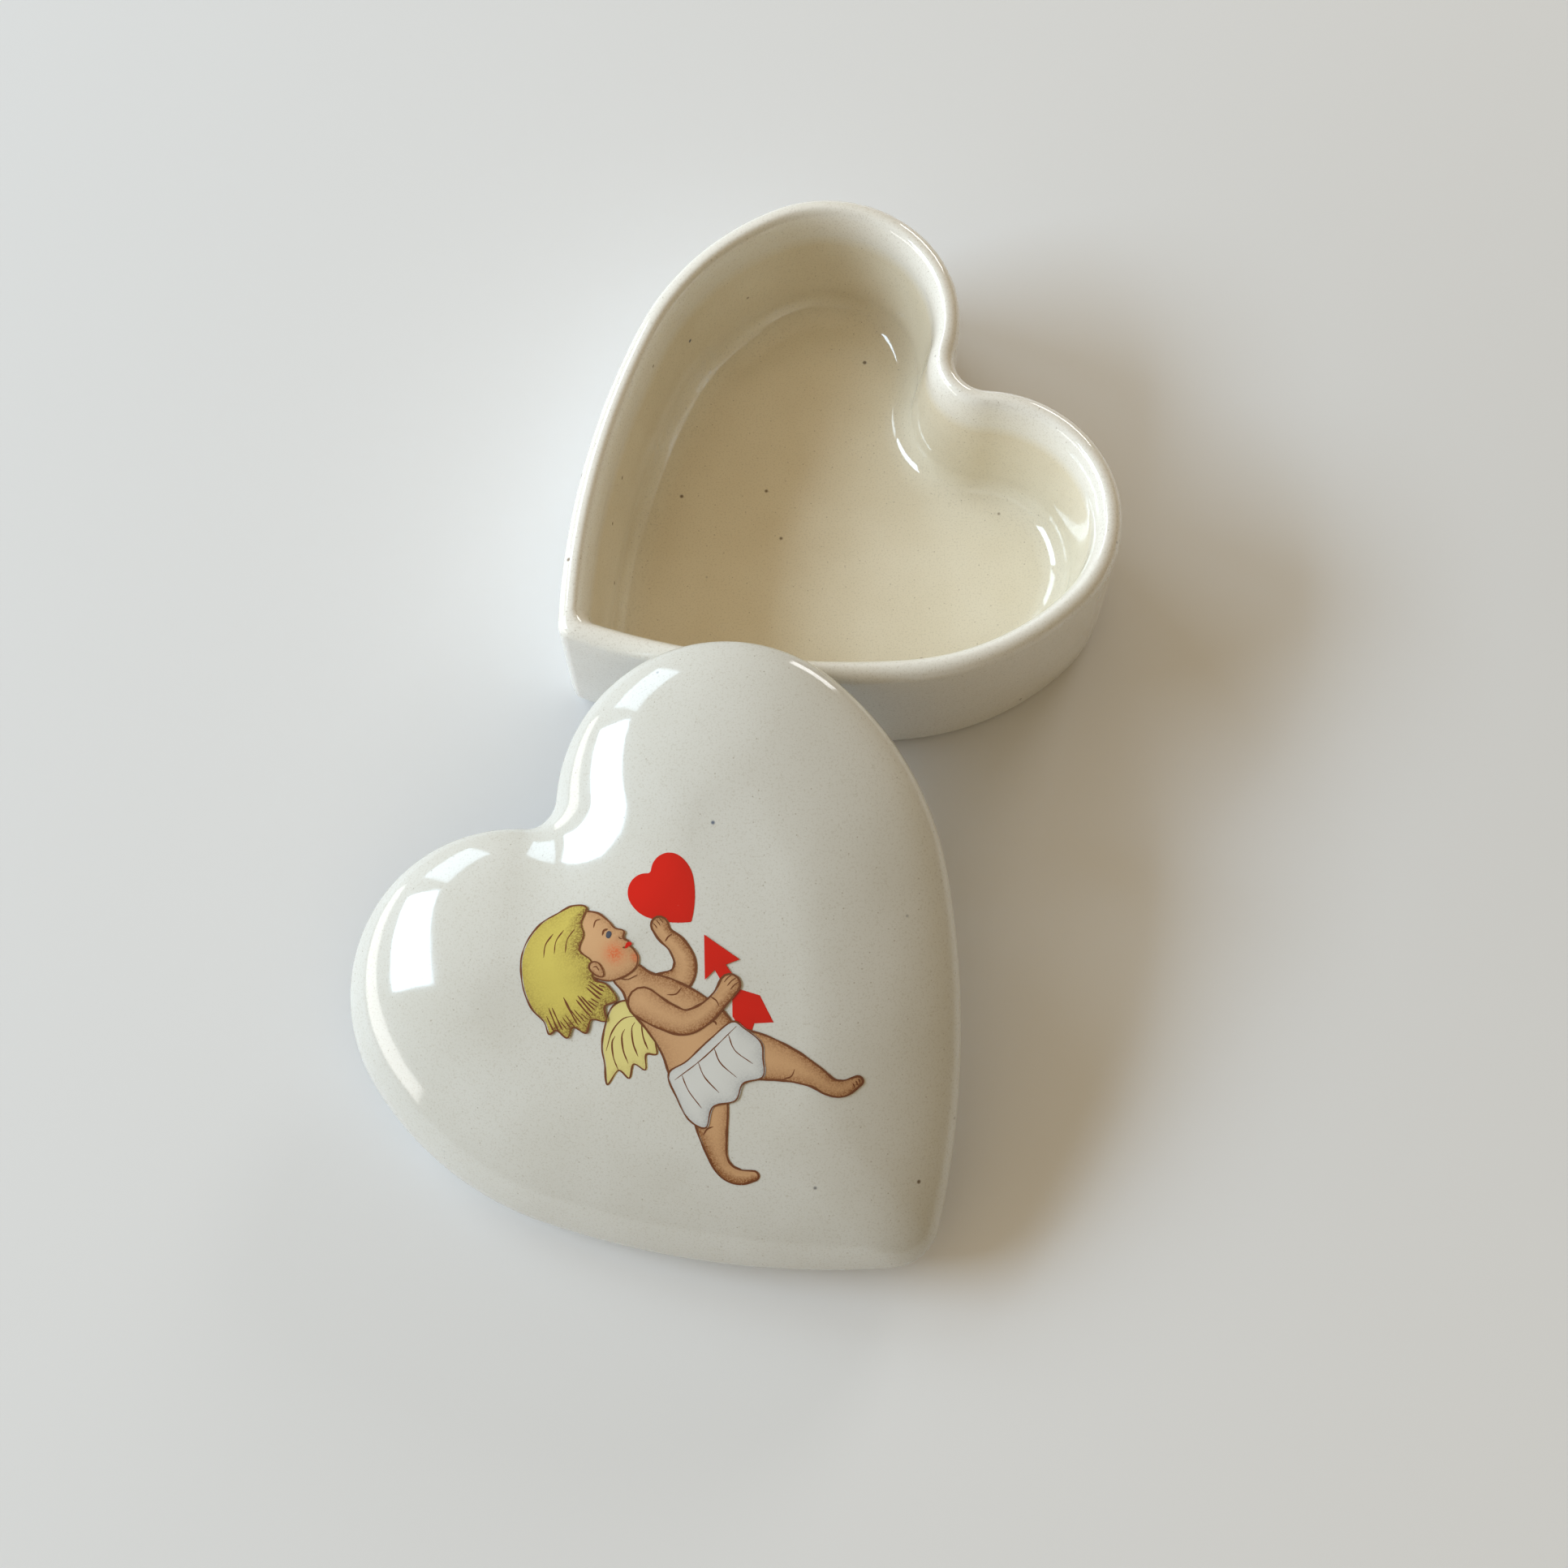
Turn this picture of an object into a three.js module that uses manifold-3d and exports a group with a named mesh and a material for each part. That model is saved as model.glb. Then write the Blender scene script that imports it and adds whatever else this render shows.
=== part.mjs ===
// A heart-shaped pill box in glazed ceramic: an open dish and a domed lid that slips over its
// rim, with a small print of a cherub, a red heart and an arrow on the lid. The lid is off the
// dish and leans on it: one lobe lies on the rim and the opposite side lies on the table.
// Millimetres, +Z up. The table is z = 0.
import * as THREE from 'three';
import Module from 'manifold-3d';
import { mergeVertices } from 'three/addons/utils/BufferGeometryUtils.js';

const wasm = await Module();
wasm.setup();

// ---------------------------------------------------------------- driving dimensions
// The heart: half of it is five arcs that run into each other, from the notch to the tip.
const LOBE_CENTRE = 13.6; // from the heart's axis to the centre of a lobe
const LOBE_RADIUS = 16.4; // the lid is 2 * (13.6 + 16.4) = 60 wide
const SIDE_RADIUS = 30;
const FLANK_RADIUS = 85;
const SIDE_START = THREE.MathUtils.degToRad(10);
const SIDE_END = THREE.MathUtils.degToRad(-31);

const LID_TIP = 5; // corner radius at the heart's point
const LID_NOTCH = 3.2; // corner radius between the lobes
const LID_WALL = 2.1;
const LID_CEILING = 2.4;
const LID_SKIRT = 3.5; // height of the upright edge
const SHOULDER_WIDTH = 14;
const SHOULDER_RISE = 5.4;
const SHOULDER_POWER = 1.6;
const CROWN_RISE = 1.4;
const CROWN_SPREAD = 18;
const CROWN_Y = -12.5;
const CAVITY_TIP = 2.6;
const MIDDLE_Y = -12; // a point well inside the heart, which its inner rings close in on

const DISH_INSET = 2.6; // the rim lies this far inside the lid's outline
const FOOT_INSET = 2.3;
const DISH_TIP = 1.6;
const DISH_NOTCH = 3.5;
const DISH_HEIGHT = 18.7;
const RIM_RADIUS = 1.35;
const RIM_SLOPE = 3.7; // the rim's inner side rounds down over this height
const INNER_INSET = 6.4; // where the inner wall meets the floor's fillet
const FLOOR_FILLET = 3.2;
const FLOOR_THICKNESS = 3;
const FOOT_FILLET = 1.5;
const FOOT_RING = 3;
const FOOT_RECESS = 0.8;

const PRINT_GAP = 0.1; // between the glaze and the first ink, and between one ink and the next
const INK_THICKNESS = 0.1;

// Where the lid leans, seen from the dish's own centre.
const DISH_HEADING = THREE.MathUtils.degToRad(-57.5);
const LID_HEADING = THREE.MathUtils.degToRad(38);
const LID_OFFSET = new THREE.Vector2(-29.5, -48);
const LEAN_DIRECTION = THREE.MathUtils.degToRad(-18.6);
const LEAN_ANGLE = THREE.MathUtils.degToRad(19.9);

// ---------------------------------------------------------------- materials
const glaze = () => new THREE.MeshStandardMaterial({ color: 0xe9e4d2, roughness: 0.12, metalness: 0 });
const ink = (color) => new THREE.MeshStandardMaterial({ color, roughness: 0.2, metalness: 0 });

// ---------------------------------------------------------------- the heart outline
const onCircle = (centre, radius, angle) =>
  new THREE.Vector2(centre.x + radius * Math.cos(angle), centre.y + radius * Math.sin(angle));

function arc(centre, radius, from, to, steps) {
  const points = [];
  for (let i = 0; i < steps; i += 1) {
    points.push(onCircle(centre, radius, from + ((to - from) * i) / steps));
  }
  return points;
}

// The outline `inset` inside the lid's, counter-clockwise from above, point at -Y.
function heartOutline(inset, tipRadius, notchRadius) {
  const lobe = new THREE.Vector2(LOBE_CENTRE, 0);
  const side = onCircle(lobe, LOBE_RADIUS - SIDE_RADIUS, SIDE_START);
  const flank = onCircle(side, SIDE_RADIUS - FLANK_RADIUS, SIDE_END);
  const tipReach = FLANK_RADIUS - inset - tipRadius;
  const tip = new THREE.Vector2(0, flank.y - Math.sqrt(tipReach ** 2 - flank.x ** 2));
  const notchReach = LOBE_RADIUS - inset + notchRadius;
  const notch = new THREE.Vector2(0, Math.sqrt(notchReach ** 2 - LOBE_CENTRE ** 2));
  const tipAngle = tip.clone().sub(flank).angle() - 2 * Math.PI;
  const notchAngle = lobe.clone().sub(notch).angle() - 2 * Math.PI;
  const half = [
    ...arc(notch, notchRadius, -Math.PI / 2, notchAngle, 4),
    ...arc(lobe, LOBE_RADIUS - inset, notchAngle + Math.PI, SIDE_START, 18),
    ...arc(side, SIDE_RADIUS - inset, SIDE_START, SIDE_END, 8),
    ...arc(flank, FLANK_RADIUS - inset, SIDE_END, tipAngle, 7),
    ...arc(tip, tipRadius, tipAngle, -Math.PI / 2, 5),
  ];
  const point = new THREE.Vector2(0, tip.y - tipRadius);
  const mirrored = half.slice(1).map((p) => new THREE.Vector2(-p.x, p.y));
  return [...mirrored, point, ...half.reverse()];
}

const dishOutline = (inset) =>
  heartOutline(inset, DISH_TIP + 0.15 * Math.max(inset - DISH_INSET, 0), DISH_NOTCH + inset - DISH_INSET);
const lidOutline = (inset) => heartOutline(inset, LID_TIP, LID_NOTCH + inset);
const cavityOutline = (inset) => heartOutline(inset, CAVITY_TIP, LID_NOTCH + inset);

// ---------------------------------------------------------------- closed skins from rings
const raise = (outline, height) => outline.map((p) => new THREE.Vector3(p.x, p.y, height(p)));
const MIDDLE = new THREE.Vector2(0, MIDDLE_Y);
const shrink = (outline, share) => outline.map((p) => MIDDLE.clone().lerp(p, share));

// A closed mesh through rings of equally many points, with a fan at the first and last centres.
function loft(firstCentre, rings, lastCentre) {
  const count = rings[0].length;
  const vertices = [firstCentre, ...rings.flat(), lastCentre];
  const last = vertices.length - 1;
  const index = [];
  for (let i = 0; i < count; i += 1) {
    const next = (i + 1) % count;
    index.push(0, 1 + next, 1 + i);
    for (let ring = 0; ring < rings.length - 1; ring += 1) {
      const low = 1 + ring * count;
      const high = low + count;
      index.push(low + i, low + next, high + next, low + i, high + next, high + i);
    }
    index.push(last - count + i, last - count + next, last);
  }
  const geometry = new THREE.BufferGeometry().setFromPoints(vertices);
  geometry.setIndex(index);
  geometry.computeVertexNormals();
  return geometry;
}

// Points [inset, z] along a quarter or half round in the wall's section.
function bend(inset, z, radius, fromDegrees, toDegrees, steps) {
  const from = THREE.MathUtils.degToRad(fromDegrees);
  const to = THREE.MathUtils.degToRad(toDegrees);
  const centre = new THREE.Vector2(inset, z);
  return [...arc(centre, radius, from, to, steps), onCircle(centre, radius, to)].map((p) => [p.x, p.y]);
}

// ---------------------------------------------------------------- the dish
// The bend round the inside of the rim, drawn out downwards from the top of the rim.
function stretch(points, share) {
  const top = DISH_HEIGHT + RIM_RADIUS;
  return points.map(([inset, z]) => [inset, DISH_HEIGHT - (top - z) * share]);
}

function dishGeometry() {
  const rimCentre = DISH_INSET + RIM_RADIUS;
  const ringInner = FOOT_INSET + FOOT_FILLET + FOOT_RING;
  const section = [
    [ringInner + FOOT_RECESS, FOOT_RECESS],
    [ringInner, 0],
    ...bend(FOOT_INSET + FOOT_FILLET, FOOT_FILLET, FOOT_FILLET, 270, 180, 4),
    ...bend(rimCentre, DISH_HEIGHT - RIM_RADIUS, RIM_RADIUS, 180, 90, 4),
    ...stretch(bend(rimCentre, DISH_HEIGHT, RIM_RADIUS, 75, 0, 5), RIM_SLOPE / RIM_RADIUS),
    ...bend(INNER_INSET + FLOOR_FILLET, FLOOR_THICKNESS + FLOOR_FILLET, FLOOR_FILLET, 180, 270, 7),
  ];
  const rings = section.map(([inset, z]) => raise(dishOutline(inset), () => z));
  const underside = new THREE.Vector3(0, MIDDLE_Y, FOOT_RECESS);
  const floor = new THREE.Vector3(0, MIDDLE_Y, FLOOR_THICKNESS);
  return loft(underside, rings, floor);
}

// ---------------------------------------------------------------- the lid
const crown = (p) => CROWN_RISE * Math.exp(-(p.x ** 2 + (p.y - CROWN_Y) ** 2) / CROWN_SPREAD ** 2);

// Height of a rounded shoulder that rises over `width` and then carries the crown.
function domeHeight(p, inset, width, start, rise) {
  const left = 1 - Math.min(inset / width, 1);
  const share = (1 - left ** SHOULDER_POWER) ** (1 / SHOULDER_POWER);
  return start + share * (rise + crown(p));
}

const topHeight = (p, inset, lift = 0) =>
  domeHeight(p, inset, SHOULDER_WIDTH, LID_SKIRT, SHOULDER_RISE) + lift;
const ceilingHeight = (p, inset) =>
  domeHeight(p, inset - LID_WALL, SHOULDER_WIDTH - LID_WALL, LID_SKIRT, SHOULDER_RISE - LID_CEILING);

const SHOULDER_STEPS = 10;
const CROWN_SHARES = [0.8, 0.6, 0.4, 0.2];

// Insets over the shoulder, closer together where it is steep.
function shoulderInsets(from, to) {
  const insets = [];
  for (let i = 0; i <= SHOULDER_STEPS; i += 1) {
    insets.push(from + (to - from) * (1 - Math.cos((Math.PI / 2) * (i / SHOULDER_STEPS))));
  }
  return insets;
}

// Rings from the shoulder's foot to the middle of the crown.
function crownRings(outlineAt, from, heightAt) {
  const shoulder = shoulderInsets(from, SHOULDER_WIDTH);
  const rings = shoulder.map((inset) => raise(outlineAt(inset), (p) => heightAt(p, inset)));
  const top = outlineAt(SHOULDER_WIDTH);
  const inner = CROWN_SHARES.map((share) =>
    raise(shrink(top, share), (p) => heightAt(p, SHOULDER_WIDTH)));
  return [...rings, ...inner];
}

const crownCentre = (heightAt) =>
  new THREE.Vector3(0, MIDDLE_Y, heightAt(MIDDLE, SHOULDER_WIDTH));

function lidGeometry() {
  const edge = LID_WALL / 2;
  const ceiling = crownRings(cavityOutline, LID_WALL, ceilingHeight).reverse();
  const lip = bend(edge, edge, edge, 0, -180, 6).map(([inset, z]) => {
    const outline = inset > edge ? cavityOutline(inset) : lidOutline(inset);
    return raise(outline, () => z);
  });
  const top = crownRings(lidOutline, 0, topHeight);
  return loft(crownCentre(ceilingHeight), [...ceiling, ...lip, ...top], crownCentre(topHeight));
}

// ---------------------------------------------------------------- the print on the lid
function toSolid(geometry) {
  const plain = geometry.clone();
  plain.deleteAttribute('normal');
  plain.deleteAttribute('uv');
  const merged = mergeVertices(plain);
  return new wasm.Manifold(new wasm.Mesh({
    numProp: 3,
    vertProperties: new Float32Array(merged.attributes.position.array),
    triVerts: new Uint32Array(merged.index.array),
  }));
}

function toGeometry(solid) {
  const mesh = solid.getMesh();
  const geometry = new THREE.BufferGeometry();
  geometry.setAttribute('position', new THREE.BufferAttribute(mesh.vertProperties, 3));
  geometry.setIndex(new THREE.BufferAttribute(mesh.triVerts, 1));
  geometry.computeVertexNormals();
  return geometry;
}

// A thin layer that follows the crown, from which the patches of one ink are cut.
function inkLayer(level) {
  const start = 1;
  const low = PRINT_GAP + level * (INK_THICKNESS + PRINT_GAP);
  const high = low + INK_THICKNESS;
  const lowHeight = (p, inset) => topHeight(p, inset, low);
  const highHeight = (p, inset) => topHeight(p, inset, high);
  const below = crownRings(lidOutline, start, lowHeight).reverse();
  const above = crownRings(lidOutline, start, highHeight);
  return toSolid(loft(crownCentre(lowHeight), [...below, ...above], crownCentre(highHeight)));
}

function printed(shapes, level) {
  const depth = LID_SKIRT + SHOULDER_RISE + 2 * CROWN_RISE;
  const prisms = shapes.map((shape) =>
    toSolid(new THREE.ExtrudeGeometry(shape, { depth, bevelEnabled: false })));
  const patch = prisms.reduce((whole, prism) => whole.add(prism));
  return toGeometry(inkLayer(level).intersect(patch));
}

const polygon = (points) => new THREE.Shape(points.map(([x, y]) => new THREE.Vector2(x, y)));

// A smooth closed patch through a few points.
function blob(points) {
  const corners = points.map(([x, y]) => new THREE.Vector3(x, y, 0));
  const curve = new THREE.CatmullRomCurve3(corners, true, 'centripetal');
  const outline = curve.getPoints(points.length * 3).slice(1);
  return new THREE.Shape(outline.map((p) => new THREE.Vector2(p.x, p.y)));
}

// A limb along points [x, y, half width], with round ends.
function limb(points) {
  const curve = new THREE.CatmullRomCurve3(points.map((p) => new THREE.Vector3(...p)));
  const steps = points.length * 3;
  const left = [];
  const right = [];
  for (let i = 0; i <= steps; i += 1) {
    const here = curve.getPoint(i / steps);
    const along = curve.getTangent(i / steps);
    const across = new THREE.Vector2(-along.y, along.x).normalize().multiplyScalar(here.z);
    left.push(new THREE.Vector2(here.x, here.y).add(across));
    right.push(new THREE.Vector2(here.x, here.y).sub(across));
  }
  const cap = (from, to) => {
    const centre = from.clone().add(to).multiplyScalar(0.5);
    const spoke = from.clone().sub(centre);
    return arc(centre, spoke.length(), spoke.angle(), spoke.angle() - Math.PI, 4).slice(1);
  };
  const end = cap(left.at(-1), right.at(-1));
  const start = cap(right[0], left[0]);
  return new THREE.Shape([...left, ...end, ...right.reverse(), ...start]);
}

// The cherub stands upright on the lid, the heart's notch above it and the point below.
const face = blob([
  [-3.6, 1.7], [-1.9, 1.6], [-0.8, 0.6], [-0.4, -1.1], [0.1, -2.3], [-0.3, -3.5], [-0.5, -5],
  [-1.3, -5.6], [-2.7, -5.5], [-4.2, -4.7], [-5.2, -3], [-5.6, -0.6], [-5, 0.9],
]);
const torso = blob([
  [-1.2, -5.2], [-0.5, -6.9], [0.7, -8.8], [1.8, -11.6], [2.3, -14.4], [1.6, -16.8], [0.2, -18.3],
  [-2.4, -19], [-5, -18.2], [-5.8, -16.2], [-4.7, -13.2], [-4.3, -10.6], [-4.3, -8.2], [-3.5, -5],
]);
const raisedArm = limb([
  [-0.8, -8.4, 1.2], [1.1, -9.1, 1.15], [2.5, -8.3, 1], [3, -6.6, 0.85], [2.8, -5.1, 0.72], [3, -4.1, 0.8],
]);
const arrowArm = limb([
  [-2.9, -8.5, 1.45], [-2.2, -10.6, 1.3], [-1.1, -12.4, 1.15], [0.8, -13, 0.95], [2.8, -12.9, 0.8],
  [4.4, -12.5, 0.95],
]);
const frontLeg = limb([
  [-0.8, -16.4, 2.5], [1.7, -19, 2.2], [3.5, -21.6, 1.55], [4.6, -24, 1], [5, -25.6, 0.8],
  [5.8, -26.6, 0.75], [7.2, -27, 0.48],
]);
const rearLeg = limb([
  [-3.2, -17.2, 2.1], [-4.7, -19.8, 1.75], [-6.2, -22, 1.3], [-7.3, -23.9, 0.85], [-7.6, -25.3, 0.8],
  [-7.1, -26.5, 0.75], [-6, -27.3, 0.5],
]);
const skin = [face, torso, raisedArm, arrowArm, frontLeg, rearLeg];
const hair = blob([
  [-1.3, 1.7], [-2.3, 2.7], [-5.6, 3.4], [-8.9, 2.3], [-10.9, -0.4], [-11.4, -2.1], [-11.7, -4.9],
  [-10.6, -6.3], [-8.9, -7.1], [-6.7, -7.5], [-4.6, -6.7], [-4.4, -5], [-5, -3.8], [-4.1, -2.4],
  [-4.3, -0.9], [-3.1, -0.1], [-2.6, 0.9],
]);
const wing = blob([
  [-3, -9.4], [-3.9, -7.4], [-5.4, -6.9], [-7, -7.7], [-8.6, -9], [-10.6, -12], [-8.9, -11.7],
  [-7.4, -12.6], [-5.1, -12.7], [-3.4, -11],
]);
const cloth = blob([
  [-5.5, -15], [-0.6, -15.1], [2.2, -15.2], [2.7, -16.4], [3, -18.4], [1, -20.9], [-0.8, -20.2],
  [-2.4, -20.9], [-4.4, -20], [-6.2, -21], [-6.9, -19.4], [-6.4, -17.2],
]);

const HEART_PLACE = new THREE.Vector2(5.35, -0.9);
const HEART_SIZE = 0.108; // of the box's own heart

const redHeart = new THREE.Shape(
  heartOutline(0, 2, LID_NOTCH).map((p) => p.multiplyScalar(HEART_SIZE).add(HEART_PLACE)));
const arrowHead = polygon([
  [5.5, -7.4], [2.8, -10.6], [4.1, -10.5], [3.9, -11.6], [5.1, -11.8], [5.2, -10.8], [6.5, -11.3],
]);
const arrowTail = polygon([
  [3.7, -13.4], [4.7, -13.4], [5.7, -15], [5, -17.7], [3.6, -16.6], [2.1, -17.5], [2.5, -14.8],
]);

// ---------------------------------------------------------------- assembly
function named(name, geometry, material) {
  const mesh = new THREE.Mesh(geometry, material);
  mesh.name = name;
  return mesh;
}

const dish = named('dish', dishGeometry(), glaze());
dish.rotation.z = DISH_HEADING;

const lid = new THREE.Group();
lid.add(
  named('lid', lidGeometry(), glaze()),
  named('print_skin', printed(skin, 0), ink(0xc99a72)),
  named('print_hair', printed([hair], 2), ink(0xd8c765)),
  named('print_wing', printed([wing], 1), ink(0xdccf86)),
  named('print_cloth', printed([cloth], 1), ink(0xc4ccd2)),
  named('print_heart', printed([redHeart], 2), ink(0xc6241f)),
  named('print_arrow_head', printed([arrowHead], 2), ink(0xc6241f)),
  named('print_arrow_tail', printed([arrowTail], 2), ink(0xc6241f)),
);

// The lid is turned to its heading, tipped so that its far side is up, and set on the table.
const leanAxis = new THREE.Vector3(Math.cos(LEAN_DIRECTION), Math.sin(LEAN_DIRECTION), 0);
lid.quaternion
  .setFromAxisAngle(leanAxis, LEAN_ANGLE)
  .multiply(new THREE.Quaternion().setFromAxisAngle(new THREE.Vector3(0, 0, 1), LID_HEADING));
lid.position.set(LID_OFFSET.x, LID_OFFSET.y, 0);
lid.updateMatrixWorld(true);
lid.position.z = -new THREE.Box3().setFromObject(lid, true).min.z;

// The origin is under the middle of the whole arrangement, on the table.
const group = new THREE.Group();
group.add(dish, lid);
group.updateMatrixWorld(true);
const middle = new THREE.Box3().setFromObject(group, true).getCenter(new THREE.Vector3());
group.position.set(-middle.x, -middle.y, 0);

export default group;
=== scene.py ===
"""A heart-shaped pill box in cream glazed ceramic: an open dish, and a domed lid that leans on it.

Drawing sizes are in millimetres, in a heart's own plane: the notch at +Y, the point at -Y.
"""

import math

import bpy
import numpy as np
from mathutils import Matrix, Vector, geometry
from mathutils.bvhtree import BVHTree


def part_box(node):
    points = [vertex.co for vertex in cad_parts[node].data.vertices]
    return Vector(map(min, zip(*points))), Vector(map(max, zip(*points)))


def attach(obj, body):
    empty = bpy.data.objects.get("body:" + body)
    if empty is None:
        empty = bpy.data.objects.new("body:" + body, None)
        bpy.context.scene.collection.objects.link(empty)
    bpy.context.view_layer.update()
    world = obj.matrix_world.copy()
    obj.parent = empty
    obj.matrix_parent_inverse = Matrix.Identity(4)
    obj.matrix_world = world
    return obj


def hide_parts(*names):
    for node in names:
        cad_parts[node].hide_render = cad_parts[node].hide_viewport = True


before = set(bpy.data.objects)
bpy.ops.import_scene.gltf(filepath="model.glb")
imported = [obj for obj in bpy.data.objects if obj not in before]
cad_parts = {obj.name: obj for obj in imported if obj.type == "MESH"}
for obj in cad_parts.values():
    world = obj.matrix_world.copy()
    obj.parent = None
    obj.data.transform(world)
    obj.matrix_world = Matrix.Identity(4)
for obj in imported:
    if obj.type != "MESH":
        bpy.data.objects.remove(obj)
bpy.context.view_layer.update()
MM = 0.001
SHARP = math.radians(40)  # an edge folded by more than this isn't shaded smooth

# ------------------------------------------------------------------ driving sizes, as in the CAD
LOBE_CENTRE = 13.6
LOBE_RADIUS = 16.4
SIDE_RADIUS = 30.0
FLANK_RADIUS = 85.0
SIDE_START = math.radians(10)
SIDE_END = math.radians(-31)
MIDDLE = np.array([0.0, -12.0])

LID_TIP = 5.0
LID_NOTCH = 3.2
LID_WALL = 2.1
LID_CEILING = 2.4
LID_SKIRT = 3.5
SHOULDER_WIDTH = 14.0
SHOULDER_RISE = 5.4
SHOULDER_POWER = 1.6
CROWN_RISE = 1.4
CROWN_SPREAD = 18.0
CROWN_Y = -12.5
CAVITY_TIP = 2.6
SHOULDER_RINGS = 22
CROWN_RINGS = 16

DISH_INSET = 2.6
FOOT_INSET = 2.3
DISH_TIP = 1.6
TIP_GROWTH = 0.15  # the dish's point gets rounder inwards by this share of the inset
DISH_NOTCH = 3.5
DISH_HEIGHT = 18.7
RIM_RADIUS = 1.35
RIM_SLOPE = 3.7
INNER_INSET = 6.4
FLOOR_FILLET = 3.2
FLOOR_THICKNESS = 3.0
FOOT_FILLET = 1.5
FOOT_RING = 3.0
FOOT_RECESS = 0.8
POOL_AND_SHADE_ABOVE = 0.2  # the thick glaze, and the painted shade inside the dish, start this far above the end of the rim's inner side
POOL_AND_SHADE_FADE = 0.8

DISH_HEADING = math.radians(-57.5)
LID_HEADING = math.radians(38)
LEAN_DIRECTION = math.radians(-18.6)
LEAN_ANGLE = math.radians(19.9)


# ------------------------------------------------------------------ the heart outline
def on_circle(centre, radius, angle):
    return np.array([centre[0] + radius * math.cos(angle), centre[1] + radius * math.sin(angle)])


def arc(centre, radius, start, end, steps):
    """Points round an arc, without its end."""
    angles = np.linspace(start, end, steps, endpoint=False)
    return [on_circle(centre, radius, angle) for angle in angles]


def direction(start, end):
    """The angle at which one point is seen from another."""
    return math.atan2(end[1] - start[1], end[0] - start[0])


def heart(inset, tip_radius, notch_radius):
    """The outline that far inside the lid's, counter-clockwise from above."""
    lobe = np.array([LOBE_CENTRE, 0.0])
    side = on_circle(lobe, LOBE_RADIUS - SIDE_RADIUS, SIDE_START)
    flank = on_circle(side, SIDE_RADIUS - FLANK_RADIUS, SIDE_END)
    tip_reach = FLANK_RADIUS - inset - tip_radius
    tip = np.array([0.0, flank[1] - math.sqrt(tip_reach**2 - flank[0] ** 2)])
    notch_reach = LOBE_RADIUS - inset + notch_radius
    notch = np.array([0.0, math.sqrt(notch_reach**2 - LOBE_CENTRE**2)])
    tip_angle = direction(flank, tip)
    notch_angle = direction(notch, lobe)
    half = (
        arc(notch, notch_radius, -math.pi / 2, notch_angle, 12)
        + arc(lobe, LOBE_RADIUS - inset, notch_angle + math.pi, SIDE_START, 60)
        + arc(side, SIDE_RADIUS - inset, SIDE_START, SIDE_END, 26)
        + arc(flank, FLANK_RADIUS - inset, SIDE_END, tip_angle, 24)
        + arc(tip, tip_radius, tip_angle, -math.pi / 2, 14)
    )
    point = np.array([0.0, tip[1] - tip_radius])
    mirrored = [np.array([-p[0], p[1]]) for p in half[1:]]
    return np.array(mirrored + [point] + half[::-1])


def dish_heart(inset):
    within = inset - DISH_INSET
    return heart(inset, DISH_TIP + TIP_GROWTH * max(within, 0), DISH_NOTCH + within)


def lid_heart(inset):
    return heart(inset, LID_TIP, LID_NOTCH + inset)


def cavity_heart(inset):
    return heart(inset, CAVITY_TIP, LID_NOTCH + inset)


# ------------------------------------------------------------------ meshes
def raised(outline, heights):
    """The outline in space, at one height or at a height for each point."""
    return np.column_stack([outline, np.broadcast_to(heights, len(outline))])


def shrunk(outline, share):
    """The outline drawn in towards the heart's middle."""
    return MIDDLE + (outline - MIDDLE) * share


def loft(first, rings, last):
    """Vertices and faces of a closed skin through rings, with a fan at each end."""
    count = len(rings[0])
    vertices = np.vstack([[first], *rings, [last]])
    top = len(vertices) - 1
    faces = []
    for i in range(count):
        after = (i + 1) % count
        faces.append((0, 1 + after, 1 + i))
        for ring in range(len(rings) - 1):
            low = 1 + ring * count
            high = low + count
            faces.append((low + i, low + after, high + after, high + i))
        faces.append((top - count + i, top - count + after, top))
    return vertices, faces


def add_mesh(name, vertices, faces, material, body, nodes):
    """One smooth piece, which rides on the body and takes the place of the CAD nodes."""
    mesh = bpy.data.meshes.new(name)
    mesh.from_pydata((vertices * MM).tolist(), [], faces)
    mesh.shade_smooth()
    mesh.set_sharp_from_angle(angle=SHARP)
    mesh.materials.append(material)
    piece = bpy.data.objects.new(name, mesh)
    bpy.context.scene.collection.objects.link(piece)
    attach(piece, body)
    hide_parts(*nodes)
    return piece


def store(mesh, name, values):
    """Keeps one number for each vertex, which a material can read."""
    layer = mesh.attributes.new(name, "FLOAT", "POINT")
    layer.data.foreach_set("value", np.asarray(values, np.float32))


def bend(inset, z, radius, start, end, steps):
    """Points (inset, z) round part of a circle in the wall's section, in degrees."""
    angles = np.radians(np.linspace(start, end, steps + 1))
    return [(inset + radius * math.cos(a), z + radius * math.sin(a)) for a in angles]


def straight(start, end, steps):
    """Points between two section points, without the ends."""
    shares = np.linspace(0, 1, steps + 2)[1:-1]
    return [(start[0] + (end[0] - start[0]) * s, start[1] + (end[1] - start[1]) * s) for s in shares]


# ------------------------------------------------------------------ the dish
def inner_rim(inset):
    """The rim's inner side: insets, and heights as a share, 1 at its top and 0 where it ends."""
    angles = np.radians(np.linspace(90, 0, 13)[1:])
    return [(inset + RIM_RADIUS * math.cos(a), math.sin(a)) for a in angles]


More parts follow.
